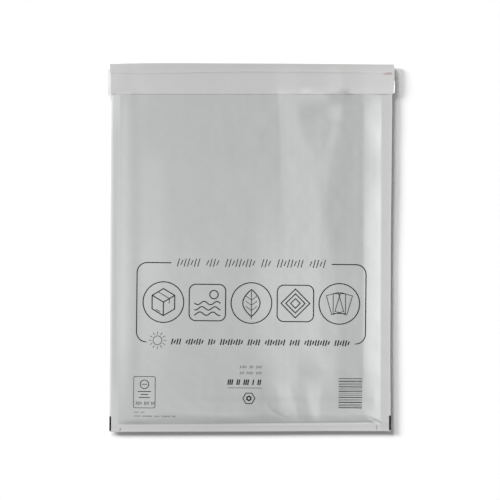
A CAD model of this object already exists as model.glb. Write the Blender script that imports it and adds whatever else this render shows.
"""Looks of the padded envelope: a white paper postal bag lined with bubble film, lying flat.

Plan positions are written on a plan grid P, Q: P runs to the right and Q down the bag, one unit is
STEP millimetres, and (MID_P, MID_Q) is the origin of the part. Heights are in millimetres.
"""

import math

import bpy
import numpy as np
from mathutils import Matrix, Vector


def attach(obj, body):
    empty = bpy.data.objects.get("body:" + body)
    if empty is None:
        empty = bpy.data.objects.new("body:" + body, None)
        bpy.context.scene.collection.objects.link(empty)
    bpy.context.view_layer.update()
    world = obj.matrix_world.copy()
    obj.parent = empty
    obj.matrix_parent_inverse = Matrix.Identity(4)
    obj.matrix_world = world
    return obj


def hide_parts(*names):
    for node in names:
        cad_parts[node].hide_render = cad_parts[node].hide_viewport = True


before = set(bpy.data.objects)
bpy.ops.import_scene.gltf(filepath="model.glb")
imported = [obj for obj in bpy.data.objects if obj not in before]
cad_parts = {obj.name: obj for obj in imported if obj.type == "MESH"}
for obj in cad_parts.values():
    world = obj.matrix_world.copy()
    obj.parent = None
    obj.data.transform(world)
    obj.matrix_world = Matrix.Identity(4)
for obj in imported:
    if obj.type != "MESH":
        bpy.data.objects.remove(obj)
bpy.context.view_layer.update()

STEP, MID_P, MID_Q = 1.319, 251.9, 248.0
PAPER = 0.22  # thickness of the sheet
SEAM = 0.24  # from the middle of a glued seam to each outer face
FILM = 0.10  # thickness of the flat side of the bubble film
PITCH = 8.7  # between bubbles of the film, on the plan grid: 11.5 mm
MM = 0.001


def to_x(p):
    return (np.asarray(p, float) - MID_P) * STEP


def to_y(q):
    return (MID_Q - np.asarray(q, float)) * STEP


# ---------------------------------------------------------------- small shape functions
def smooth(low, high, t):
    t = np.clip((np.asarray(t, float) - low) / (high - low), 0.0, 1.0)
    return t * t * (3 - 2 * t)


def bell(t, middle, width):
    return np.exp(-(((np.asarray(t, float) - middle) / width) ** 2))


def ramp(distance, run, soft):
    """Rises at a steady slope to 1 over run, with the upper end rounded over soft."""
    d = np.maximum(np.asarray(distance, float), 0.0)
    line = d / run
    k = soft / run
    # A smooth minimum of the line and 1.
    h = np.clip(0.5 + 0.5 * (1 - line) / k, 0.0, 1.0)
    low = 1 * (1 - h) + line * h - k * h * (1 - h)
    return np.clip(low, 0.0, 1.0)


def curve(t, knots):
    """A smooth line through (t, value) knots."""
    ts, vs = np.array(knots, float).T
    t = np.clip(np.asarray(t, float), ts[0], ts[-1])
    k = np.clip(np.searchsorted(ts, t) - 1, 0, len(ts) - 2)
    slope = np.gradient(vs, ts)
    h = ts[k + 1] - ts[k]
    u = (t - ts[k]) / h
    return (
        vs[k] * (1 + 2 * u) * (1 - u) ** 2
        + slope[k] * h * u * (1 - u) ** 2
        + vs[k + 1] * u * u * (3 - 2 * u)
        + slope[k + 1] * h * u * u * (u - 1)
    )


def along(p, q, start, end):
    """Distance from the line start-end in plan, signed to its left, and the share along it."""
    (p0, q0), (p1, q1) = start, end
    dp, dq = p1 - p0, q1 - q0
    length = math.hypot(dp, dq)
    share = ((p - p0) * dp + (q - q0) * dq) / length**2
    side = ((p - p0) * dq - (q - q0) * dp) / length
    return side, share


def crease(p, q, start, end, width, tip=0.12):
    """1 on a line, falling off over width to its sides and over its tips."""
    side, share = along(p, q, start, end)
    ends = smooth(-tip, tip, share) * (1 - smooth(1 - tip, 1 + tip, share))
    return np.exp(-((side / width) ** 2)) * ends


class Noise:
    """Smooth repeatable noise over the plan, about -1 to 1."""

    def __init__(self, seed, size):
        self.size = size
        self.grid = np.random.RandomState(seed).uniform(-1, 1, (64, 64))

    def __call__(self, p, q):
        a, b = np.asarray(p, float) / self.size, np.asarray(q, float) / self.size
        i, j = np.floor(a).astype(int), np.floor(b).astype(int)
        u, v = a - i, b - j
        u, v = u * u * u * (u * (6 * u - 15) + 10), v * v * v * (v * (6 * v - 15) + 10)
        g = self.grid
        at = lambda m, n: g[(i + m) % 64, (j + n) % 64]
        return (at(0, 0) * (1 - u) + at(1, 0) * u) * (1 - v) + (
            at(0, 1) * (1 - u) + at(1, 1) * u
        ) * v


broad = Noise(3, 38.0)
middling = Noise(5, 15.0)
fine = Noise(8, 6.3)

# ---------------------------------------------------------------- outline of the bag
FOLD_Q, MOUTH_Q, CUT_Q, END_Q = 63.6, 73.2, 93.9, 431.4


def left_edge(q):
    return curve(q, [(60, 111.2), (100, 111.2), (130, 111.0), (170, 110.6), (230, 110.2), (300, 109.9), (360, 109.6), (410, 109.3), (432, 109.1)])


def right_edge(q):
    return curve(q, [(60, 392.4), (102, 392.35), (130, 392.1), (170, 391.7), (230, 391.1), (300, 390.75), (360, 390.45), (410, 390.75), (432, 390.8)])


def flap_left(q):
    return curve(q, [(63, 109.8), (70, 110.0), (76, 110.5), (90, 110.6), (94, 110.8)])


def flap_right(q):
    return curve(q, [(63, 393.9), (67, 394.3), (74, 394.6), (84, 394.3), (94, 393.6)])


def seal_left(q):
    return curve(q, [(73, 120.4), (170, 119.6), (300, 118.8), (424, 118.2)])


def seal_right(q):
    return curve(q, [(73, 381.8), (150, 381.4), (300, 380.8), (424, 380.4)])


def hem_line(p):
    """Q of the inner edge of the bottom seam."""
    return curve(p, [(109, 424.7), (119, 424.6), (160, 424.5), (205, 424.3), (250, 423.7), (310, 423.3), (340, 423.1), (358, 422.9), (372, 422.4), (391, 422.4)])


def end_line(p):
    """Q of the folded bottom edge."""
    return curve(p, [(109, 432.3), (180, 432.1), (250, 431.9), (320, 431.5), (391, 431.5)])


def fold_line(p):
    """Q of the crown of the fold at the top."""
    return curve(p, [(109, 63.7), (130, 63.2), (250, 63.2), (320, 63.6), (370, 64.1), (395, 64.2)])


def crease_line(p):
    """Q of the crease where the flap turns over the mouth."""
    return curve(p, [(109, 73.6), (130, 73.6), (160, 73.3), (180, 73.1), (215, 72.4), (320, 72.3), (360, 72.6), (395, 73.2)])


# ---------------------------------------------------------------- heights
def band(p, start, end, soft_start, soft_end):
    """1 between start and end, with its own softness at each side."""
    return smooth(start - soft_start, start + soft_start, p) * (1 - smooth(end - soft_end, end + soft_end, p))


def fall(p, q):
    """How steeply the front falls to the right over its padding, before the shoulders."""
    # Just inside the left shoulder, below a faint cross crease.
    left = curve(q, [(73, 0), (149, 0), (155, 0.014), (200, 0.036), (250, 0.064), (310, 0.060), (350, 0.042), (385, 0.016), (420, 0.006)])
    total = left * band(p, 141.5, 163, 3.0, 10)
    # A crisp fold left of the middle of the right half. It spreads out to the left lower down.
    edge = curve(q, [(73, 277), (95, 278), (150, 281), (200, 282), (420, 283)])
    far = curve(q, [(73, 300), (104, 297), (115, 298), (130, 301), (150, 311), (180, 317), (235, 320), (330, 321)])
    crisp = curve(q, [(73, 1.5), (170, 1.8), (230, 5.0), (420, 6.0)])
    strength = curve(q, [(73, 0.040), (100, 0.050), (150, 0.044), (200, 0.042), (235, 0.043), (330, 0.038), (430, 0.036)])
    upper = 1 - smooth(344, 374, q)
    total = total + upper * strength * band(p, edge, far, crisp, 5.0)
    wide = curve(q, [(73, 0), (175, 0.0), (210, 0.012), (235, 0.026), (270, 0.044), (330, 0.036), (430, 0.034)])
    total = total + upper * wide * band(p, 257, edge, 9.0, crisp)
    total = total + 0.006 * smooth(120, 160, q) * (1 - smooth(330, 350, q)) * band(p, far, far + 12, 5, 7)
    # Crumples just below the flap, with a flatter facet between them.
    under = 1 - smooth(98.5, 106, q)
    total = total + 0.034 * under * band(p, 298, 327, 2.5, 4.0) - 0.030 * under * band(p, 330, 352, 4.0, 4.0)
    knob = smooth(103, 109, q) * (1 - smooth(116, 124, q))
    total = total + 0.034 * knob * band(p, 328.5, 341.5, 2.5, 1.6) - 0.014 * knob * band(p, 300, 326, 4.0, 3.0)
    total = total + 0.010 * smooth(120, 150, q) * (1 - smooth(160, 200, q)) * band(p, 316, 334, 5.0, 4.0)
    # Near the foot the fold breaks up into two narrower ones.
    total = total + 0.056 * (1 - upper) * (1 - smooth(374, 396, q)) * band(p, 271, 297, 5.0, 5.0)
    slant = smooth(380, 420, q)
    total = total + 0.110 * smooth(374, 396, q) * band(p, 276 + 6 * slant, 290 + 8 * slant, 5.0, 2.0)
    total = total - 0.040 * smooth(374, 400, q) * (band(p, 250, 268, 5.0, 4.0) + 0.35 * band(p, 297, 307, 3.0, 3.0) + 0.6 * band(p, 323, 337, 2.0, 6.0))
    total = total - 0.010 * (1 - upper) * (1 - smooth(376, 398, q)) * band(p, 300, 315, 4.0, 4.0)
    total = total + 0.135 * smooth(368, 410, q) * band(p, 305 + 7 * slant, 321.5 - 3 * slant, 4.5 - 1.5 * slant, 1.3)
    total = total + 0.030 * (1 - upper) * (1 - smooth(374, 402, q)) * band(p, 319, 337, 5.0, 5.0)
    # From there the front rises to its right shoulder.
    start = curve(q, [(73, 345), (103, 343.5), (130, 339), (168, 330), (191, 327), (215, 325), (250, 331), (330, 338), (430, 342)])
    rise = curve(q, [(73, 0.020), (100, 0.028), (165, 0.032), (235, 0.032), (270, 0.026), (330, 0.026), (364, 0.026), (400, 0.022), (425, 0.008)])
    total = total - rise * band(p, start, 363.5, 4.0, 1.6)
    total = total - 0.008 * smooth(95, 115, q) * (1 - smooth(180, 230, q)) * band(p, 341, 351, 2.5, 3.5)
    # A soft dent at the lower left.
    return total + 0.022 * smooth(396, 402, q) * (1 - smooth(411, 417, q)) * band(p, 179, 191, 3, 4)


class Relief:
    """The front's slow shapes: the falls added up across the bag, with dents and creases laid over them."""

    def __init__(self):
        self.p, self.q = np.arange(100.0, 404.1, 0.5), np.arange(56.0, 442.1, 1.0)
        p, q = np.meshgrid(self.p, self.q)
        slope = fall(p, q)
        run = np.concatenate([np.zeros((len(self.q), 1)), np.cumsum((slope[:, 1:] + slope[:, :-1]) / 2, axis=1)], 1)
        run -= run[:, [70]]
        z = -run * 0.5 * STEP
        # Crumples below the flap, where the front was pushed together.
        lump = 0.10 * crease(p, q, (326, 150), (334, 112), 4.0, 0.2)
        # Wrinkles above the bottom seam.
        lump = lump - 0.30 * crease(p, q, (266, 404), (273, 413), 1.8) - 0.34 * crease(p, q, (271, 411), (289, 420), 1.7)
        lump = lump + 0.12 * crease(p, q, (345, 408), (359, 416), 3.0)
        lump = lump - 0.15 * crease(p, q, (150, 413), (176, 417), 2.4) - 0.10 * crease(p, q, (196, 409), (232, 416), 3.0)
        lump = lump - 0.35 * np.exp(-(((p - 364) / 7.0) ** 2) - ((q - 397) / 11.0) ** 2)
        lump = lump + 0.44 * np.exp(-(((p - 374.6) / 3.4) ** 2) - ((q - 401) / 8.5) ** 2)
        # Two faint straight marks that something inside has left.
        lump = lump + 0.05 * crease(p, q, (141, 152.2), (179, 151.6), 1.0, 0.08)
        lump = lump - 0.05 * crease(p, q, (141, 154), (140.5, 250), 1.5, 0.03)
        self.z = z + lump

    def __call__(self, p, q):
        u = np.clip((np.asarray(p, float) - self.p[0]) / 0.5, 0, len(self.p) - 1.001)
        v = np.clip(np.asarray(q, float) - self.q[0], 0, len(self.q) - 1.001)
        u, v = np.broadcast_arrays(u, v)
        i, j = u.astype(int), v.astype(int)
        u, v = u - i, v - j
        z = self.z
        return (z[j, i] * (1 - u) + z[j, i + 1] * u) * (1 - v) + (z[j + 1, i] * (1 - u) + z[j + 1, i + 1] * u) * v


relief = Relief()


def seam_z(p, q):
    """Middle height of the glued seams, which stand a little off the table and waver along their length."""
    wave = 0.14 * broad(p * 0.6, q * 1.3) + 0.06 * middling(p * 0.5 + 9, q)
    at_left = curve(q, [(63, 4.4), (94, 3.9), (120, 3.6), (150, 3.8), (200, 4.8), (250, 5.8), (300, 6.1), (350, 5.4), (385, 4.6), (412, 4.5), (432, 4.15)])
    at_right = curve(q, [(63, 4.35), (94, 4.45), (115, 4.55), (150, 4.35), (200, 4.35), (250, 4.0), (310, 4.0), (350, 4.3), (385, 4.4), (410, 4.35), (432, 4.0)])
    middle = at_left + (at_right - at_left) * smooth(111, 391, p)
    # The raw side edges curl down, the left one more.
    inward = p - left_edge(q)
    left = np.clip(1 - inward / 2.4, 0, 1) ** 2
    right = np.clip(1 - (right_edge(q) - p) / 2.0, 0, 1) ** 2
    lean = STEP * np.clip(inward - 8.6, -8.6, 0) * (0.015 + 0.10 * (1 - smooth(102, 140, q)))
    tip = 0.022 * STEP * np.clip(p - 381, 0, 12)
    return middle + wave - 0.75 * left - 0.03 * right + lean + tip


# Height of the padding at the left shoulder, down the bag.
HEIGHT = [(63, 6.8), (80, 6.9), (110, 7.3), (150, 7.6), (200, 8.6), (250, 10.2), (300, 10.8), (350, 9.9), (385, 9.1), (410, 8.9), (432, 8.6)]


def sink(p, q):
    """The upper part of the bag lies lower on its right side."""
    return 0.95 * np.clip((p - 120) / 262, 0, 1) * (1 - smooth(105, 235, q))


def swell(p, q):
    """0 on the seams, 1 over the padding."""
    start = p - seal_left(q) - 0.3
    left = ramp((start + np.sqrt(start**2 + 2.2)) / 2, 13.5, 8.0) * smooth(-3.0, 0.0, start)
    power = curve(q, [(73, 1.45), (115, 1.42), (135, 1.50), (155, 1.60), (180, 1.48), (210, 1.43), (238, 1.33), (310, 1.27), (348, 1.30), (368, 1.32), (388, 1.42), (400, 1.62), (432, 1.58)])
    right = 1 - np.clip(1 - np.maximum(seal_right(q) - p, 0) / 17.5, 0, 1) ** power
    up = np.maximum(hem_line(p) - q, 0)
    run = curve(p, [(118, 3.0), (140, 4.4), (165, 8.0), (205, 7.0), (245, 6.2), (262, 9.0), (288, 11.0), (315, 7.5), (352, 6.5), (364, 6.4), (372, 3.6), (384, 3.0)])
    share = 0.42 + 0.06 * smooth(255, 285, p)
    foot = share * ramp(up, run, run * 0.55) + (1 - share) * smooth(-0.06, 1.0, up / 85)
    return left * right * foot


def top_z(p, q):
    """Outer face of the front panel."""
    p, q = np.asarray(p, float), np.asarray(q, float)
    s = swell(p, q)
    full = curve(q, HEIGHT) + relief(p, q) - sink(p, q)
    edge = seam_z(p, q) + SEAM
    z = edge + (full - edge) * s
    soft = smooth(0.05, 0.5, s)
    # Bubbles of the film, just felt through the paper.
    z = z + 0.026 * soft * bubble_waves(p, q) * (0.6 + 0.4 * middling(p, q))
    z = z + soft * (0.075 * middling(p, q) + 0.035 * fine(p, q))
    # The pressed lines of the seams.
    z = z - (0.18 + 0.16 * smooth(235, 262, p) + 0.04 * smooth(300, 335, p)) * bell(q, hem_line(p) - 0.15, 1.0) * smooth(116, 120, p) * (1 - smooth(368, 374, p))
    z = z + 0.13 * bell(q, end_line(p) - 1.2, 1.1) * (0.7 + 0.5 * middling(p, q))
    z = z - 0.16 * crease(p, q, (196, 433.5), (205, 423.5), 0.9) + 0.10 * crease(p, q, (194.5, 433), (203.5, 423), 0.9)
    z = z - 0.24 * crease(p, q, (369.5, 418.0), (380.6, 423.4), 0.9)
    line = curve(q, [(73, 1.0), (104, 1.5), (130, 1.2), (165, 0.35), (300, 0.1), (432, 0.1)])
    return z - 0.12 * line * bell(p, left_edge(q) + 3.3, 0.8)


def bubble_waves(p, q):
    """Rounded bumps on the triangular lattice of the film's bubbles."""
    k = 2 * math.pi / (PITCH * math.sqrt(3) / 2)
    total = 0.0
    for angle in (0, 60, 120):
        a = math.radians(angle)
        total = total + np.cos(k * (p * math.cos(a) + q * math.sin(a)))
    return total / 3


def base_z(p, q):
    """Outer face of the back panel, flat where it rests."""
    s = swell(p, q)
    edge = seam_z(p, q) - SEAM
    dimple = 0.05 * smooth(0.4, 1.0, s) * (1 - bubble_waves(p, q)) * 0.7
    lift = (3.7 + 0.3 * broad(p, 20.0)) * (1 - smooth(58, 100, q)) ** 1.5
    low = edge * (1 - smooth(0.0, 0.62, s) ** 0.8) + dimple
    low = low + (np.maximum(low, lift) - low) * (1 - smooth(92, 104, q))
    # At the open mouth the back panel is free of the seams and level across the bag.
    return low + (lift - low) * (1 - smooth(66, 98, q))


def hover(p, q):
    """Clear height of the flap over the front panel. It touches at the side seams and on the ridge."""
    touch = np.clip(bell(p, 288, 10) + (1 - smooth(122, 132, p)) + 0.5 * smooth(314, 328, p) + 0.5 * smooth(354, 362, p), 0, 1)
    at_edge = smooth(91.6, 93.6, q)
    return 0.26 - at_edge * (0.05 + 0.20 * touch)


def flap_paper(p, q):
    """Thickness of the flap, which is pressed thin where its cut edge lies flat on the seams."""
    ends = np.clip((1 - smooth(122, 132, p)) + 0.5 * smooth(314, 328, p) + 0.5 * smooth(352, 362, p), 0, 1)
    return PAPER - 0.13 * ends * smooth(89, 93, q)


def fold_size(p):
    """Outer height of the rounded fold at the top."""
    return 2.7 - 0.8 * np.clip((p - 120) / 262, 0, 1) + 0.2 * broad(p, 12.0)


def flap_z(p, q):
    """Outer face of the flap from its cut edge to the mouth, and on to the fold."""
    p, q = np.asarray(p, float), np.asarray(q, float)
    on = np.maximum(q, MOUTH_Q)
    # Past the side edges of the front the flap runs on straight.
    inside = np.clip(p, left_edge(on) + 2.0, right_edge(on) - 2.2)
    under = top_z(inside, on) + hover(p, q)
    # The flap is stiffer than the padding, so it bridges the slopes at the side seams a little.
    bridge = 7.15 - 0.070 * STEP * np.maximum(132 - p, 0) - 0.006 * STEP * np.maximum(p - 358, 0)
    bridge = bridge + relief(p, np.maximum(on, 112)) * 0.32 - sink(p, on)
    dip = 0.7 + 1.2 * (1 - smooth(116, 138, p)) + 1.4 * band(p, 306, 344, 7.0, 7.0)
    bridge = bridge - dip * smooth(86, 94, q)
    gap = np.clip(0.5 + (bridge - under) / 0.8, 0, 1)
    over = under * (1 - gap) + bridge * gap + 0.4 * gap * (1 - gap) + flap_paper(p, q)
    fold = base_z(p, FOLD_Q + 0.6) + fold_size(p)
    share = np.clip((MOUTH_Q - q) / (MOUTH_Q - FOLD_Q), 0, 1)
    arch = over + (fold - over) * (0.72 * share**2.6 + 0.28 * share)
    away = q - crease_line(p)
    groove = 0.52 * np.exp(-((away / 0.95) ** 2)) + 0.10 * np.exp(-((away / 1.8) ** 2))
    return arch - groove * crease_depth(p) + 0.05 * bell(q, CUT_Q - 1.6, 1.0)


def crease_depth(p):
    """The crease is worn softer in places."""
    return 1 - 0.4 * bell(p, 121, 4) - 0.6 * smooth(325, 372, p) * (1 - smooth(384, 387, p)) + 0.12 * middling(p, 3.0)


# ---------------------------------------------------------------- mesh helpers
def new_mesh(name, verts, faces, material, body="root"):
    mesh = bpy.data.meshes.new(name)
    mesh.from_pydata([tuple(v) for v in verts], [], faces)
    mesh.validate()
    mesh.update()
    obj = bpy.data.objects.new(name, mesh)
    bpy.context.scene.collection.objects.link(obj)
    mesh.materials.append(material)
    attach(obj, body)
    return obj


def sheet_solid(rows, thickness):
    """A closed thin sheet from a grid of outer-face points, (rows, columns, 3). It returns verts and faces."""
    rows = np.asarray(rows, float)
    across = np.gradient(rows, axis=1)
    down = np.gradient(rows, axis=0)
    normal = np.cross(down, across)
    normal /= np.maximum(np.linalg.norm(normal, axis=2, keepdims=True), 1e-12)
    inner = rows - normal * np.broadcast_to(np.asarray(thickness, float), rows.shape[:2])[..., None]
    count, wide = rows.shape[:2]
    verts = np.concatenate([rows.reshape(-1, 3), inner.reshape(-1, 3)])
    shift = count * wide
    index = np.arange(shift).reshape(count, wide)
    quads = np.stack([index[:-1, :-1], index[1:, :-1], index[1:, 1:], index[:-1, 1:]], -1).reshape(-1, 4)
    faces = [quads[:, ::-1], quads + shift]
    for line, flip in ((index[0], True), (index[-1], False), (index[:, 0], False), (index[:, -1], True)):
        rim = np.stack([line[:-1], line[1:], line[1:] + shift, line[:-1] + shift], -1)
        faces.append(rim[:, ::-1] if flip else rim)
    return verts, np.concatenate(faces)[:, ::-1].tolist()


def stations(*parts):
    """Values from (start, end, spacing) runs, joined."""
    out = []
    for start, end, gap in parts:
        n = max(1, round(abs(end - start) / gap))
        out.extend(np.linspace(start, end, n, endpoint=False))
    out.append(parts[-1][1])
    return np.array(out)


# ---------------------------------------------------------------- the folded paper sheet
COLUMNS = (
    stations(
        (111, 118, 1.2), (118, 122, 0.7), (122, 150, 1.9), (150, 256, 2.2), (256, 276, 2.0), (276, 300, 1.2),
        (300, 360, 1.85), (360, 368, 1.0), (368, 379, 1.6), (379, 382.5, 0.7), (382.5, 391, 1.4),
    )
    - 111
) / 280
FRONT_ROWS = stations(
    (MOUTH_Q, 90, 2.0), (90, 98, 1.0), (98, 126, 1.6), (126, 392, 2.15), (392, 413, 1.6), (413, 425, 0.66), (425, END_Q, 0.8),
)


def spread(q, p_of_left, p_of_right):
    q = np.asarray(q, float)
    left, right = p_of_left(q), p_of_right(q)
    return left[:, None] + (right - left)[:, None] * COLUMNS[None, :]


def lower(p, q):
    """Q of a row that is drawn to the bag's own bottom edge."""
    return q + (end_line(p) - END_Q - 0.25) * smooth(423, END_Q, q)


def front_grid():
    q = np.repeat(FRONT_ROWS[:, None], len(COLUMNS), 1)
    p = spread(FRONT_ROWS, left_edge, right_edge)
    return p, q, top_z(p, lower(p, q))


def lie_on_front():
    """The height of the front panel's own facets at any place."""
    _, _, z = front_grid()

    def height(p, q):
        p, q = np.asarray(p, float), np.asarray(q, float)
        row = np.clip(np.searchsorted(FRONT_ROWS, q) - 1, 0, len(FRONT_ROWS) - 2)
        u = np.clip((q - FRONT_ROWS[row]) / (FRONT_ROWS[row + 1] - FRONT_ROWS[row]), 0, 1)
        share = (p - left_edge(q)) / (right_edge(q) - left_edge(q))
        col = np.clip(np.searchsorted(COLUMNS, share) - 1, 0, len(COLUMNS) - 2)
        v = np.clip((share - COLUMNS[col]) / (COLUMNS[col + 1] - COLUMNS[col]), 0, 1)
        low = z[row, col] * (1 - v) + z[row, col + 1] * v
        high = z[row + 1, col] * (1 - v) + z[row + 1, col + 1] * v
        return low * (1 - u) + high * u

    return height


def make_paper(material):
    rows, backing = [], []

    def add(p, q, z, tone):
        rows.append(np.stack([to_x(p), to_y(q) + 0 * p, z + 0 * p], -1))
        backing.append(tone + 0 * p)

    p, q, z = front_grid()
    for k in range(len(FRONT_ROWS)):
        add(p[k], lower(p[k], q[k]), z[k], backing_at(p[k], q[k]))
    # Round the bottom fold, a tight half turn.
    p_end = p[-1]
    q_end = lower(p_end, q[-1])
    mid = seam_z(p_end, q_end)
    for angle in np.linspace(0, math.pi, 7)[1:-1]:
        add(p_end, q_end + 0.25 * math.sin(angle), mid + (z[-1] - mid) * math.cos(angle), 1.0)
    # Up the back panel.
    for qb in stations((END_Q, 426, 1.6), (426, 400, 2.6), (400, 106, 11.5), (106, 66.2, 4.5)):
        pb = spread(np.array([qb]), left_edge, right_edge)[0]
        if qb < 96:
            pf = spread(np.array([max(qb, FOLD_Q)]), flap_left, flap_right)[0]
            pb = pb + (pf - pb) * smooth(96, 66, qb)
        add(pb, lower(pb, qb), base_z(pb, lower(pb, qb)), backing_at(pb, np.full(len(pb), qb)))
    # Round the fold at the top.
    pf = spread(np.array([FOLD_Q + 0.6]), flap_left, flap_right)[0]
    size, low, crown = fold_size(pf), base_z(pf, FOLD_Q + 0.6), fold_line(pf)
    for angle in np.linspace(0, math.pi, 9):
        add(pf, crown + size / 2 / STEP * 0.8 * (1 - math.sin(angle)), low + size / 2 * (1 - math.cos(angle)), 1.0)
    # Down the flap to its cut edge.
    for qf in stations((66.0, 71.0, 0.8), (71.0, 75.4, 0.36), (75.4, 90, 1.8), (90, CUT_Q, 0.7)):
        pf = spread(np.array([qf]), flap_left, flap_right)[0]
        worn = 0.75 * crease_depth(pf) * bell(qf, crease_line(pf), 0.6)
        add(pf, qf, flap_z(pf, np.full(len(pf), qf)), 1.0 - worn)
    thick = np.full((len(rows), len(COLUMNS)), PAPER)
    for k, row in enumerate(rows[-5:]):
        thick[len(rows) - 5 + k] = flap_paper(MID_P + row[:, 0] / STEP, MID_Q - row[:, 1] / STEP)
    verts, faces = sheet_solid(np.array(rows), thick)
    obj = new_mesh("paper_sheet", verts * MM, faces, material)
    layer = obj.data.attributes.new("backing", "FLOAT", "POINT")
    both = np.concatenate([np.array(backing).ravel()] * 2)
    layer.data.foreach_set("value", both.astype(np.float32))
    obj.data.shade_smooth()
    obj.data.set_sharp_from_angle(angle=math.radians(50))
    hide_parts("outer_paper")
    return obj


def backing_at(p, q):
    """1 where a second sheet of paper lies right behind the first, as in the seams, and 0 over film."""
    edge = np.minimum(np.minimum(p - seal_left(q), seal_right(q) - p), hem_line(p) - q)
    seam = 1 - smooth(-1.0, 1.2, edge)
    # Lower down the film lies closer to the paper, which looks a little lighter there.
    close = 0.26 * smooth(190, 285, q) + 0.10 * broad(p, q + 40)
    close = close - 0.25 * smooth(200, 250, q) * (1 - smooth(385, 410, q)) * band(p, 336, 366, 6, 3)
    # The bottom seam is a little less white than the side seams, but for its folded lip.
    lip = smooth(-2.3, -1.3, q - end_line(p))
    return seam * (1 - 0.32 * smooth(-1.0, 1.0, q - hem_line(p)) * (1 - 1.3 * lip)) + (1 - seam) * close


# ---------------------------------------------------------------- the bubble film inside
def lining_room(p, q):
    """Height between the inner faces of the two films."""
    return top_z(p, q) - base_z(p, q) - 2 * (PAPER + 0.08 + FILM)


def make_lining(material):
    inset = 2.6
    across = stations((0, 0.06, 0.012), (0.06, 0.94, 0.02), (0.94, 1, 0.012))
    q_low = 419.6

    def p_of(q):
        left, right = seal_left(q) + inset, seal_right(q) - inset
        return left + (right - left) * across

    rows = []
    for q in stations((76.5, 400, 5.5), (400, q_low, 2.4)):
        p = p_of(q)
        rows.append(np.stack([to_x(p), np.full(len(p), float(to_y(q))), top_z(p, q) - PAPER - 0.08], -1))
    p = p_of(q_low)
    high, low = top_z(p, q_low) - PAPER - 0.08, base_z(p, q_low) + PAPER + 0.08
    for angle in np.linspace(0, math.pi, 7)[1:-1]:
        y = float(to_y(q_low)) - 1.1 * math.sin(angle)
        rows.append(np.stack([to_x(p), np.full(len(p), y), (high + low) / 2 + (high - low) / 2 * math.cos(angle)], -1))
    for q in stations((q_low, 400, 2.4), (400, 76.5, 5.5)):
        p = p_of(q)
        rows.append(np.stack([to_x(p), np.full(len(p), float(to_y(q))), base_z(p, q) + PAPER + 0.08], -1))
    verts, faces = sheet_solid(np.array(rows), FILM)
    verts, faces = [verts], list(faces)
    count = len(verts[0])

    # One closed pocket of air for each bubble, ten-sided, standing on the inner face of its film.
    turn = np.linspace(0, 2 * math.pi, 11)[:-1]
    column, row = np.meshgrid(np.arange(60), np.arange(60), indexing="ij")
    p = (column * PITCH * math.sqrt(3) / 2).ravel()
    q = ((row + 0.5 * (column % 2)) * PITCH).ravel()
    inside = (q > 80) & (q < q_low - 4.5)
    inside &= (p > seal_left(q) + inset + 4.2) & (p < seal_right(q) - inset - 4.2)
    p, q = p[inside], q[inside]
    room = lining_room(p[:, None] + 3.7 * np.cos(turn), q[:, None] + 3.7 * np.sin(turn)).min(1)
    tall = np.minimum(3.0, room / 2 - 0.12)
    p, q, tall = p[tall > 0.6], q[tall > 0.6], tall[tall > 0.6]
    i, j = np.arange(10), (np.arange(10) + 1) % 10
    walls = np.concatenate([np.stack([i + k, j + k, j + k + 10, i + k + 10], -1) for k in (0, 10)])
    for side in (1, -1):
        if side > 0:
            foot = lambda a, b: top_z(a, b) - PAPER - 0.08 - FILM + 0.03
        else:
            foot = lambda a, b: base_z(a, b) + PAPER + 0.08 + FILM - 0.03
        rings = []
        for radius, up in ((1.0, 0.0), (0.97, 0.62), (0.72, 1.0)):
            a = p[:, None] + 3.75 * radius * np.cos(turn)
            b = q[:, None] + 3.75 * radius * np.sin(turn)
            level = foot(a, b) if up < 1 else np.repeat(foot(p, q)[:, None], 10, 1)
            rings.append(np.stack([to_x(a), to_y(b), level - side * up * tall[:, None]], -1))
        verts.append(np.concatenate(rings, 1).reshape(-1, 3))
        starts = count + 30 * np.arange(len(p))
        turned = walls if side > 0 else walls[:, ::-1]
        faces += (starts[:, None, None] + turned[None]).reshape(-1, 4).tolist()
        bottom, top = (i[::-1], 20 + i) if side > 0 else (i, 20 + i[::-1])
        faces += (starts[:, None] + bottom[None]).tolist() + (starts[:, None] + top[None]).tolist()
        count += 30 * len(p)
    obj = new_mesh("bubble_film", np.concatenate(verts) * MM, faces, material)
    obj.data.shade_smooth()
    obj.data.set_sharp_from_angle(angle=math.radians(60))
    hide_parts("bubble_lining")
    return obj


# ---------------------------------------------------------------- under the flap
def under_flap(p, q, below):
    return flap_z(p, q) - PAPER - below


def make_adhesive(material):
    rows = []
    for q in stations((75.9, 90.3, 1.2)):
        p = np.linspace(MID_P - 184 / STEP, MID_P + 184 / STEP, 150)
        rows.append(np.stack([to_x(p), np.full(len(p), float(to_y(q))), under_flap(p, q, 0.0)], -1))
    verts, faces = sheet_solid(np.array(rows)[::-1], 0.06)
    obj = new_mesh("adhesive_band", verts * MM, faces, material)
    obj.data.shade_smooth()
    obj.data.set_sharp_from_angle(angle=math.radians(50))
    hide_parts("adhesive_strip")
    return obj


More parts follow.
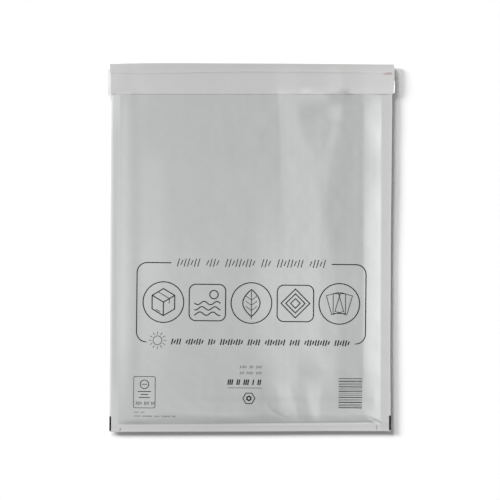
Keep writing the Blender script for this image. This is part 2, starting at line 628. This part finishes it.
def make_liner(material):
    """The peel-off strip. It was laid a little askew, so its left end reaches below the flap's cut edge."""
    p = stations((107.7, 114, 0.7), (114, 390, 2.0), (390, 395.0, 0.75))
    upper = curve(p, [(107, 68.6), (111, 69.4), (118, 72.6), (150, 75.6), (300, 76.4), (388, 79.2), (396, 80.9)])
    lower = curve(p, [(107, 96.6), (109.4, 96.0), (111.4, 93.7), (118, 93.2), (135, 92.4), (200, 92.0), (300, 92.0), (380, 92.4), (396, 92.8)])
    rows = []
    for share in np.linspace(0, 1, 19):
        q = upper + (lower - upper) * share
        # Past the ends of the flap the strip sinks a little on its own weight.
        past = np.maximum(np.maximum(flap_left(q) + 1 - p, p - flap_right(q) + 1), 0)
        z = under_flap(p, np.minimum(q, 93.4), 0.07) - 0.05 * past - 0.02 * np.maximum(q - 93.4, 0)
        rows.append(np.stack([to_x(p), to_y(q), z], -1))
    verts, faces = sheet_solid(np.array(rows)[::-1], 0.05)
    obj = new_mesh("release_strip", verts * MM, faces, material)
    obj.data.shade_smooth()
    obj.data.set_sharp_from_angle(angle=math.radians(50))
    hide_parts("release_liner")
    return obj


# ---------------------------------------------------------------- print
class Ink:
    """Thin closed ribbons and blocks of ink that lie on the paper."""

    def __init__(self, surface, lift=0.008, depth=0.045):
        self.surface, self.lift, self.depth = surface, lift, depth
        self.verts, self.faces, self.count = [], [], 0

    def add(self, verts, faces):
        self.verts.append(verts)
        self.faces += (np.asarray(faces) + self.count).tolist()
        self.count += len(verts)

    def stroke(self, points, width, closed=False, step=1.1, turned=True):
        pts = [np.array(tilt(*pt) if turned else pt, float) for pt in points]
        if closed:
            pts.append(pts[0])
        line = [pts[0]]
        for start, end in zip(pts, pts[1:]):
            n = max(1, math.ceil(np.linalg.norm(end - start) / step))
            line += [start + (end - start) * k / n for k in range(1, n + 1)]
        line = np.array(line)
        along_line = np.diff(line, axis=0)
        along_line /= np.maximum(np.linalg.norm(along_line, axis=1, keepdims=True), 1e-9)
        before = np.concatenate([along_line[-1:] if closed else along_line[:1], along_line])
        after = np.concatenate([along_line, along_line[:1] if closed else along_line[-1:]])
        mean = before + after
        mean /= np.maximum(np.linalg.norm(mean, axis=1, keepdims=True), 1e-9)
        side = np.stack([-mean[:, 1], mean[:, 0]], -1)
        stretch = 1 / np.maximum((mean * after).sum(1), 0.6)
        side *= stretch[:, None] * width / 2
        if closed:
            line, side = line[:-1], side[:-1]
        a, b = line + side, line - side
        za, zb = self.surface(*a.T) + self.lift, self.surface(*b.T) + self.lift
        quad = [(a, za + self.depth), (b, zb + self.depth), (b, zb), (a, za)]
        verts = np.stack([np.stack([to_x(c[:, 0]), to_y(c[:, 1]), z], -1) for c, z in quad], 1).reshape(-1, 3)
        n = len(line)
        faces = []
        for k in range(n if closed else n - 1):
            here, there = 4 * k, 4 * ((k + 1) % n)
            for i in range(4):
                j = (i + 1) % 4
                faces.append([here + i, there + i, there + j, here + j])
        if not closed:
            end = 4 * (n - 1)
            faces += [[0, 1, 2, 3], [end + 3, end + 2, end + 1, end]]
        self.add(verts, faces)

    def block(self, p0, q0, p1, q1, slant=0.0, turned=True, step=1.1):
        """A filled parallelogram, its lower edge shifted to the left by slant."""
        a = np.linspace(p0, p1, max(2, math.ceil((p1 - p0) / step) + 1))
        b = np.linspace(q0, q1, max(2, math.ceil((q1 - q0) / step) + 1))
        p, q = np.meshgrid(a, b)
        p = p - slant * (q - q0) / max(q1 - q0, 1e-6)
        if turned:
            p, q = tilt(p, q)
        rows = np.stack([to_x(p), to_y(q), self.surface(p, q) + self.lift + self.depth], -1)
        self.add(*sheet_solid(rows, self.depth))

    def make(self, name, material):
        return new_mesh(name, np.concatenate(self.verts) * MM, self.faces, material)


def tilt(p, q):
    """The print is turned a little clockwise on the bag."""
    return p - (np.asarray(q, float) - 300) * 0.011, q + (np.asarray(p, float) - 252) * 0.0105


def ring(p, q, radius, start=0, end=360, n=40, squash=1.0):
    t = np.radians(np.linspace(start, end, n + 1))
    pts = [(p + radius * math.cos(a), q + radius * squash * math.sin(a)) for a in t]
    return pts[:-1] if end - start >= 360 else pts


def round_box(p0, q0, p1, q1, r):
    pts = []
    for p, q, a in ((p1 - r, q0 + r, -90), (p1 - r, q1 - r, 0), (p0 + r, q1 - r, 90), (p0 + r, q0 + r, 180)):
        pts += ring(p, q, r, a, a + 90, n=7)
    return pts


def strokes_row(ink, p0, p1, q0, q1, width, pitch, words, lean=1.6, short=0.62):
    """A band of upright strokes in groups, some of them short: plain patterning in place of words."""
    total = sum(words) + 1.6 * (len(words) - 1)
    pitch = (p1 - p0) / total if pitch is None else pitch
    p, k = p0, 0
    for word in words:
        for _ in range(word):
            low = q0 + (q1 - q0) * (1 - short) / 2 if k % 3 == 1 else q0
            high = q1 - (q1 - q0) * (1 - short) / 2 if k % 3 == 1 else q1
            ink.stroke([(p + lean, low), (p, high)], width)
            p, k = p + pitch, k + 1
        p += 1.6 * pitch


def make_print(surface, material):
    ink = Ink(surface)
    line = 0.98
    # The frame: a rounded box with two gaps in its top and two in its foot.
    left, right, top, foot, r = 136.9, 365.9, 263.6, 343.0, 10.0
    ink.stroke([(146.6, foot)] + ring(left + r, foot - r, r, 90, 180, 8) + ring(left + r, top + r, r, 180, 270, 8) + [(171.0, top)], line)
    ink.stroke([(331.5, top)] + ring(right - r, top + r, r, 270, 360, 8) + ring(right - r, foot - r, r, 0, 90, 8) + [(356.0, foot)], line)
    strokes_row(ink, 177.0, 326.5, 259.2, 267.2, 0.74, None, (7, 4, 9, 3, 8, 5), lean=2.2)
    strokes_row(ink, 172.0, 351.0, 339.4, 345.2, 1.15, None, (4, 7, 3, 9, 5, 8, 4, 10, 6), lean=1.4)

    # Five panels, rings and rounded squares by turns, each with a plain line drawing.
    mid = 303.0
    centres = [163.5, 207.5, 251.5, 295.5, 339.5]
    for k, p in enumerate(centres):
        if k % 2 == 0:
            ink.stroke(ring(p, mid, 20.3, n=48), line, closed=True)
        else:
            ink.stroke(round_box(p - 18.2, mid - 18.2, p + 18.2, mid + 18.2, 6.5), line, closed=True)
    # A carton seen from a corner.
    p = centres[0]
    hexagon = [(p + 13 * math.sin(math.radians(a)), mid - 13.5 * math.cos(math.radians(a))) for a in range(0, 360, 60)]
    ink.stroke(hexagon, line, closed=True)
    for a in (60, 180, 300):
        ink.stroke([(p, mid), (p + 13 * math.sin(math.radians(a)), mid - 13.5 * math.cos(math.radians(a)))], line)
    ink.stroke([(p - 5.6, mid - 10.4), (p + 5.9, mid - 3.6), (p + 5.9, mid + 1.2)], 0.6)
    ink.stroke([(p - 7.6, mid + 7.2), (p - 3.2, mid + 9.6)], 0.6)
    # Waves below a round sun.
    p = centres[1]
    ink.stroke(ring(p + 6.5, mid - 8.0, 4.2, n=24), line, closed=True)
    for k, level in enumerate((0.5, 5.8, 11.1)):
        ink.stroke([(p - 13 + t, mid + level + 1.7 * math.sin(t / 2.05 + k)) for t in np.linspace(0, 26, 40)], line)
    # A leaf with its veins.
    p = centres[2]
    for side in (1, -1):
        edge = [(p + side * 8.6 * math.sin(math.pi * t) ** 0.9, mid + 13.5 - 27 * t) for t in np.linspace(0, 1, 26)]
        ink.stroke(edge, line)
    ink.stroke([(p, mid + 16.2), (p, mid - 12.4)], 0.62)
    for level in (7.5, 2.3, -2.9):
        for side in (1, -1):
            ink.stroke([(p, mid + level), (p + side * 5.6, mid + level - 4.2)], 0.5)
    # Squares one inside another, set on their corners.
    p = centres[3]
    for size in (14.4, 9.6, 4.8):
        ink.stroke([(p, mid - size), (p + size, mid), (p, mid + size), (p - size, mid)], line, closed=True)
    # Three sheets, fanned out.
    p = centres[4]
    for k, turn in enumerate((-16, 0, 16)):
        c, n = math.cos(math.radians(turn)), math.sin(math.radians(turn))
        box = [(-6.2, -11.2), (6.2, -11.2), (6.2, 8.6), (-6.2, 8.6)]
        ink.stroke([(p + (k - 1) * 4.0 + a * c - b * n, mid + 1 + a * n + b * c) for a, b in box], 0.62, closed=True)

    # A rayed disc at the lower left of the frame, printed lighter.
    ink.stroke(ring(158.0, 341.2, 4.4, n=24), 0.5, closed=True)
    for a in range(0, 360, 30):
        c, n = math.cos(math.radians(a)), math.sin(math.radians(a))
        ink.stroke([(158.0 + 5.9 * c, 341.2 + 5.9 * n), (158.0 + 8.8 * c, 341.2 + 8.8 * n)], 0.45)

    # The small marks below it.
    strokes_row(ink, 241.0, 262.5, 365.6, 368.4, 0.34, 1.45, (5, 3, 4), lean=0.5)
    strokes_row(ink, 241.0, 262.5, 371.6, 374.4, 0.34, 1.45, (3, 5, 4), lean=0.5)
    strokes_row(ink, 228.8, 262.6, 379.6, 385.0, 1.2, None, (3, 2, 3, 1, 2), lean=1.0, short=1.0)
    ink.stroke([(229.0, 388.0), (263.0, 388.0)], 0.4)
    ink.stroke([(250.0 + 6.0 * math.cos(math.radians(a)), 398.4 + 6.0 * math.sin(math.radians(a))) for a in range(0, 360, 60)], 0.8, closed=True)
    ink.stroke([(250.0 + 2.2 * math.cos(math.radians(a)), 398.4 + 2.2 * math.sin(math.radians(a))) for a in range(30, 390, 60)], 1.3, closed=True)

    # A small label at the lower left.
    ink.stroke(round_box(134.6, 377.6, 156.2, 409.0, 1.6), 0.5, closed=True)
    ink.stroke(ring(145.4, 385.4, 4.3, n=24), 0.7, closed=True)
    ink.stroke([(142.6, 385.4), (148.2, 385.4)], 0.6)
    for level, short in ((392.6, 0), (395.6, 3.0), (398.6, 1.2)):
        ink.stroke([(138.8 + short, level), (152.0 - short, level)], 0.75)
    strokes_row(ink, 137.2, 153.5, 402.6, 406.2, 0.4, 1.25, (5, 4, 3), lean=0.4)
    strokes_row(ink, 135.8, 147.0, 412.8, 414.2, 0.3, 1.1, (4, 4), lean=0.3)
    strokes_row(ink, 135.8, 176.0, 416.6, 418.0, 0.34, 1.1, (6, 9, 5, 8, 3), lean=0.3)

    # A made-up block of bars at the lower right.
    q = 377.2
    for thick, gap in (
        (0.9, 0.9), (0.5, 0.8), (1.3, 0.8), (0.5, 0.7), (0.9, 1.0), (1.4, 0.8), (0.5, 0.7), (0.6, 0.8), (1.2, 0.8),
        (0.5, 1.1), (0.9, 1.2), (1.3, 1.1), (0.5, 0.8), (0.5, 0.9), (1.4, 0.8), (0.6, 0.7), (1.0, 0.8), (1.3, 0.5),
    ):
        ink.block(339.8, q, 363.2, q + thick * 0.62)
        q += thick + gap

    # Register marks that run off both side edges.
    for q0, q1, edge, side, out in ((416.5, 431.0, left_edge, 1, 0.0), (415.7, 430.3, right_edge, -1, 0.24)):
        q = np.linspace(q0, q1, 18)
        for inset in (0.30, 0.88, 1.46):
            ink.stroke([(float(edge(v)) + side * (inset - out), v) for v in q], 0.66, turned=False, step=2.0)
    # Small crop ticks on the bottom seam.
    ink.stroke([(120.4, 428.4), (119.7, 430.9)], 0.5, turned=False)
    ink.stroke([(376.8, 425.2), (376.9, 430.2)], 0.22, turned=False)
    return ink.make("front_print", material)


def make_red_dash(material):
    ink = Ink(lambda p, q: flap_z(p, q), lift=0.01, depth=0.05)
    ink.block(384.0, 72.3, 391.9, 74.6, turned=False, step=0.5)
    return ink.make("red_dash", material)


# ---------------------------------------------------------------- materials
def nodes_of(name):
    mat = bpy.data.materials.new(name)
    mat.use_nodes = True
    return mat, mat.node_tree, mat.node_tree.nodes["Principled BSDF"]


def put(tree, kind, **values):
    node = tree.nodes.new(kind)
    for key, value in values.items():
        if key in node.inputs:
            node.inputs[key].default_value = value
        else:
            setattr(node, key, value)
    return node


def paper_material():
    mat, tree, shader = nodes_of("white_paper")
    link = tree.links.new
    shader.inputs["Roughness"].default_value = 0.58
    shader.inputs["Specular IOR Level"].default_value = 0.05
    place = put(tree, "ShaderNodeTexCoord")
    # Paper over film looks a little darker and cooler than paper over paper.
    backing = put(tree, "ShaderNodeAttribute", attribute_name="backing")
    tone = put(tree, "ShaderNodeMix", data_type="RGBA")
    tone.inputs["A"].default_value = (0.515, 0.527, 0.522, 1)
    tone.inputs["B"].default_value = (0.592, 0.598, 0.590, 1)
    link(backing.outputs["Fac"], tone.inputs["Factor"])
    # Cloudy formation of the sheet, and finer flecks.
    cloud = put(tree, "ShaderNodeTexNoise", Scale=70.0, Detail=4.0, Roughness=0.6)
    link(place.outputs["Object"], cloud.inputs["Vector"])
    fleck = put(tree, "ShaderNodeTexNoise", Scale=900.0, Detail=2.0)
    link(place.outputs["Object"], fleck.inputs["Vector"])
    shift = put(tree, "ShaderNodeMapRange")
    shift.inputs["From Min"].default_value = 0.3
    shift.inputs["From Max"].default_value = 0.7
    shift.inputs["To Min"].default_value = 0.988
    shift.inputs["To Max"].default_value = 1.012
    link(cloud.outputs["Fac"], shift.inputs["Value"])
    shift2 = put(tree, "ShaderNodeMapRange")
    shift2.inputs["From Min"].default_value = 0.3
    shift2.inputs["From Max"].default_value = 0.7
    shift2.inputs["To Min"].default_value = 0.985
    shift2.inputs["To Max"].default_value = 1.015
    link(fleck.outputs["Fac"], shift2.inputs["Value"])
    both = put(tree, "ShaderNodeMath", operation="MULTIPLY")
    link(shift.outputs["Result"], both.inputs[0])
    link(shift2.outputs["Result"], both.inputs[1])
    scaled = put(tree, "ShaderNodeVectorMath", operation="SCALE")
    link(tone.outputs["Result"], scaled.inputs[0])
    link(both.outputs[0], scaled.inputs["Scale"])
    link(scaled.outputs["Vector"], shader.inputs["Base Color"])
    rough = put(tree, "ShaderNodeMapRange")
    rough.inputs["To Min"].default_value = 0.66
    rough.inputs["To Max"].default_value = 0.82
    link(cloud.outputs["Fac"], rough.inputs["Value"])
    link(rough.outputs["Result"], shader.inputs["Roughness"])
    # Fibres: a fine, slightly drawn-out tooth.
    stretch = put(tree, "ShaderNodeMapping")
    stretch.inputs["Scale"].default_value = (1.0, 0.45, 1.0)
    link(place.outputs["Object"], stretch.inputs["Vector"])
    tooth = put(tree, "ShaderNodeTexNoise", Scale=1400.0, Detail=3.0)
    link(stretch.outputs["Vector"], tooth.inputs["Vector"])
    bump = put(tree, "ShaderNodeBump", Strength=0.12, Distance=0.0001)
    link(tooth.outputs["Fac"], bump.inputs["Height"])
    link(bump.outputs["Normal"], shader.inputs["Normal"])
    return mat


def ink_material(name, dark, light, roughness):
    """Ink that has taken a little unevenly on the paper."""
    mat, tree, shader = nodes_of(name)
    link = tree.links.new
    shader.inputs["Roughness"].default_value = roughness
    shader.inputs["Specular IOR Level"].default_value = 0.02
    place = put(tree, "ShaderNodeTexCoord")
    wear = put(tree, "ShaderNodeTexNoise", Scale=260.0, Detail=5.0, Roughness=0.65)
    link(place.outputs["Object"], wear.inputs["Vector"])
    spread = put(tree, "ShaderNodeMapRange")
    spread.inputs["From Min"].default_value = 0.35
    spread.inputs["From Max"].default_value = 0.75
    link(wear.outputs["Fac"], spread.inputs["Value"])
    tone = put(tree, "ShaderNodeMix", data_type="RGBA")
    tone.inputs["A"].default_value = (*dark, 1)
    tone.inputs["B"].default_value = (*light, 1)
    link(spread.outputs["Result"], tone.inputs["Factor"])
    link(tone.outputs["Result"], shader.inputs["Base Color"])
    return mat


def film_material():
    mat, tree, shader = nodes_of("clear_film")
    link = tree.links.new
    shader.inputs["Roughness"].default_value = 0.25
    shader.inputs["IOR"].default_value = 1.5
    shader.inputs["Transmission Weight"].default_value = 0.55
    place = put(tree, "ShaderNodeTexCoord")
    haze = put(tree, "ShaderNodeTexNoise", Scale=160.0, Detail=3.0)
    link(place.outputs["Object"], haze.inputs["Vector"])
    tone = put(tree, "ShaderNodeMix", data_type="RGBA")
    tone.inputs["A"].default_value = (0.74, 0.78, 0.80, 1)
    tone.inputs["B"].default_value = (0.83, 0.86, 0.87, 1)
    link(haze.outputs["Fac"], tone.inputs["Factor"])
    link(tone.outputs["Result"], shader.inputs["Base Color"])
    bump = put(tree, "ShaderNodeBump", Strength=0.15, Distance=0.0002)
    link(haze.outputs["Fac"], bump.inputs["Height"])
    link(bump.outputs["Normal"], shader.inputs["Normal"])
    return mat


def adhesive_material():
    mat, tree, shader = nodes_of("hot_melt")
    link = tree.links.new
    shader.inputs["Roughness"].default_value = 0.3
    place = put(tree, "ShaderNodeTexCoord")
    streak = put(tree, "ShaderNodeMapping")
    streak.inputs["Scale"].default_value = (1.0, 12.0, 1.0)
    link(place.outputs["Object"], streak.inputs["Vector"])
    flow = put(tree, "ShaderNodeTexNoise", Scale=90.0, Detail=3.0)
    link(streak.outputs["Vector"], flow.inputs["Vector"])
    tone = put(tree, "ShaderNodeMix", data_type="RGBA")
    tone.inputs["A"].default_value = (0.66, 0.62, 0.50, 1)
    tone.inputs["B"].default_value = (0.76, 0.73, 0.62, 1)
    link(flow.outputs["Fac"], tone.inputs["Factor"])
    link(tone.outputs["Result"], shader.inputs["Base Color"])
    bump = put(tree, "ShaderNodeBump", Strength=0.3, Distance=0.0002)
    link(flow.outputs["Fac"], bump.inputs["Height"])
    link(bump.outputs["Normal"], shader.inputs["Normal"])
    return mat


def liner_material():
    mat, tree, shader = nodes_of("release_paper")
    link = tree.links.new
    shader.inputs["Roughness"].default_value = 0.38
    shader.inputs["Specular IOR Level"].default_value = 0.5
    place = put(tree, "ShaderNodeTexCoord")
    cloud = put(tree, "ShaderNodeTexNoise", Scale=120.0, Detail=4.0)
    link(place.outputs["Object"], cloud.inputs["Vector"])
    tone = put(tree, "ShaderNodeMix", data_type="RGBA")
    tone.inputs["A"].default_value = (0.82, 0.82, 0.81, 1)
    tone.inputs["B"].default_value = (0.88, 0.88, 0.88, 1)
    link(cloud.outputs["Fac"], tone.inputs["Factor"])
    link(tone.outputs["Result"], shader.inputs["Base Color"])
    bump = put(tree, "ShaderNodeBump", Strength=0.08, Distance=0.0001)
    link(cloud.outputs["Fac"], bump.inputs["Height"])
    link(bump.outputs["Normal"], shader.inputs["Normal"])
    return mat


# ---------------------------------------------------------------- camera, floor and light
def look(obj, target=(0, 0, 0)):
    obj.rotation_mode = "QUATERNION"
    obj.rotation_quaternion = (Vector(target) - obj.location).to_track_quat("-Z", "Y")


def aim_light(kind, name, azimuth, elevation, distance=3.0, **settings):
    """azimuth is the direction that the light comes from, counterclockwise from +X."""
    data = bpy.data.lights.new(name, kind)
    for key, value in settings.items():
        setattr(data, key, value)
    obj = bpy.data.objects.new(name, data)
    bpy.context.scene.collection.objects.link(obj)
    a, e = math.radians(azimuth), math.radians(elevation)
    obj.location = Vector((math.cos(a) * math.cos(e), math.sin(a) * math.cos(e), math.sin(e))) * distance
    look(obj)
    return obj


def make_stage():
    scene = bpy.context.scene
    scene.view_settings.view_transform = "Standard"
    scene.view_settings.look = "None"
    scene.view_settings.exposure = 0.0
    scene.view_settings.gamma = 1.0

    bpy.ops.mesh.primitive_plane_add(size=14.0, location=(0, 0, 0))
    floor = bpy.context.active_object
    floor.name = "studio_floor"
    mat, tree, shader = nodes_of("floor_white")
    shader.inputs["Base Color"].default_value = (0.9, 0.9, 0.9, 1)
    shader.inputs["Roughness"].default_value = 0.9
    shader.inputs["Specular IOR Level"].default_value = 0.0
    floor.data.materials.append(mat)

    camera = bpy.data.cameras.new("camera")
    camera.sensor_width = 36.0
    distance = 4.0
    # 500 units of the plan grid fill the square frame at the height of the bag's front.
    camera.lens = 36.0 * (distance - 0.008) / (500 * STEP * MM)
    camera.clip_start, camera.clip_end = 0.1, 100
    eye = bpy.data.objects.new("camera", camera)
    scene.collection.objects.link(eye)
    eye.location = (float(to_x(250.0)) * MM, float(to_y(250.0)) * MM, distance)
    eye.rotation_euler = (0, 0, 0)
    scene.camera = eye

    world = bpy.data.worlds.new("studio")
    scene.world = world
    world.use_nodes = True
    tree = world.node_tree
    sky = tree.nodes["Background"]
    sky.inputs["Color"].default_value = (1, 1, 1, 1)
    sky.inputs["Strength"].default_value = 0.24
    seen = put(tree, "ShaderNodeBackground")
    seen.inputs["Strength"].default_value = 1.0
    path = put(tree, "ShaderNodeLightPath")
    mix = put(tree, "ShaderNodeMixShader")
    tree.links.new(path.outputs["Is Camera Ray"], mix.inputs[0])
    tree.links.new(sky.outputs[0], mix.inputs[1])
    tree.links.new(seen.outputs[0], mix.inputs[2])
    tree.links.new(mix.outputs[0], tree.nodes["World Output"].inputs["Surface"])
    return floor


def strip_light(name, x, z, power, tilt_to, length=0.75, height=0.06, y=0.0):
    """A long soft box standing beside the bag."""
    data = bpy.data.lights.new(name, "AREA")
    data.shape = "RECTANGLE"
    data.size, data.size_y = length, height
    data.energy = power
    obj = bpy.data.objects.new(name, data)
    bpy.context.scene.collection.objects.link(obj)
    obj.location = (x, y, z)
    obj.visible_camera = False
    look(obj, tilt_to)
    return obj


KEY, RIGHT, LEFT = 0.565, 32.0, 1.8


def make_lights(floor, pieces):
    on_floor = bpy.data.collections.new("lit_floor")
    on_floor.objects.link(floor)
    on_bag = bpy.data.collections.new("lit_bag")
    for piece in pieces:
        on_bag.objects.link(piece)
    # The floor's key comes from the upper left, high and low, and draws the soft shadow to the lower right.
    # A weak fill from the opposite side keeps the shadow from closing up at the edges.
    for name, azimuth, elevation, power, wide in (
        ("floor_key_low", 154, 17.6, 1.60, 15), ("floor_key_high", 121, 28, 0.79, 22), ("floor_fill", 325, 45, 0.05, 50),
    ):
        floor_key = aim_light("SUN", name, azimuth, elevation, energy=math.pi * power, angle=math.radians(wide))
        floor_key.light_linking.receiver_collection = on_floor
    bag_key = aim_light("SUN", "bag_key", 105, 35, energy=math.pi * KEY, angle=math.radians(30))
    right = strip_light("right_box", 1.0, 0.10, RIGHT, (0, 0, 0), length=0.9, height=0.12)
    left = strip_light("left_box", -0.44, 0.08, LEFT, (-0.10, 0, 0), height=0.05)
    for light in (bag_key, right, left):
        light.light_linking.receiver_collection = on_bag


def main():
    floor = make_stage()
    paper = paper_material()
    pieces = [
        make_paper(paper),
        make_lining(film_material()),
        make_adhesive(adhesive_material()),
        make_liner(liner_material()),
        make_print(lie_on_front(), ink_material("dark_ink", (0.006, 0.006, 0.007), (0.030, 0.030, 0.032), 0.85)),
        make_red_dash(ink_material("red_ink", (0.47, 0.365, 0.38), (0.54, 0.435, 0.445), 0.8)),
    ]
    make_lights(floor, pieces)


main()
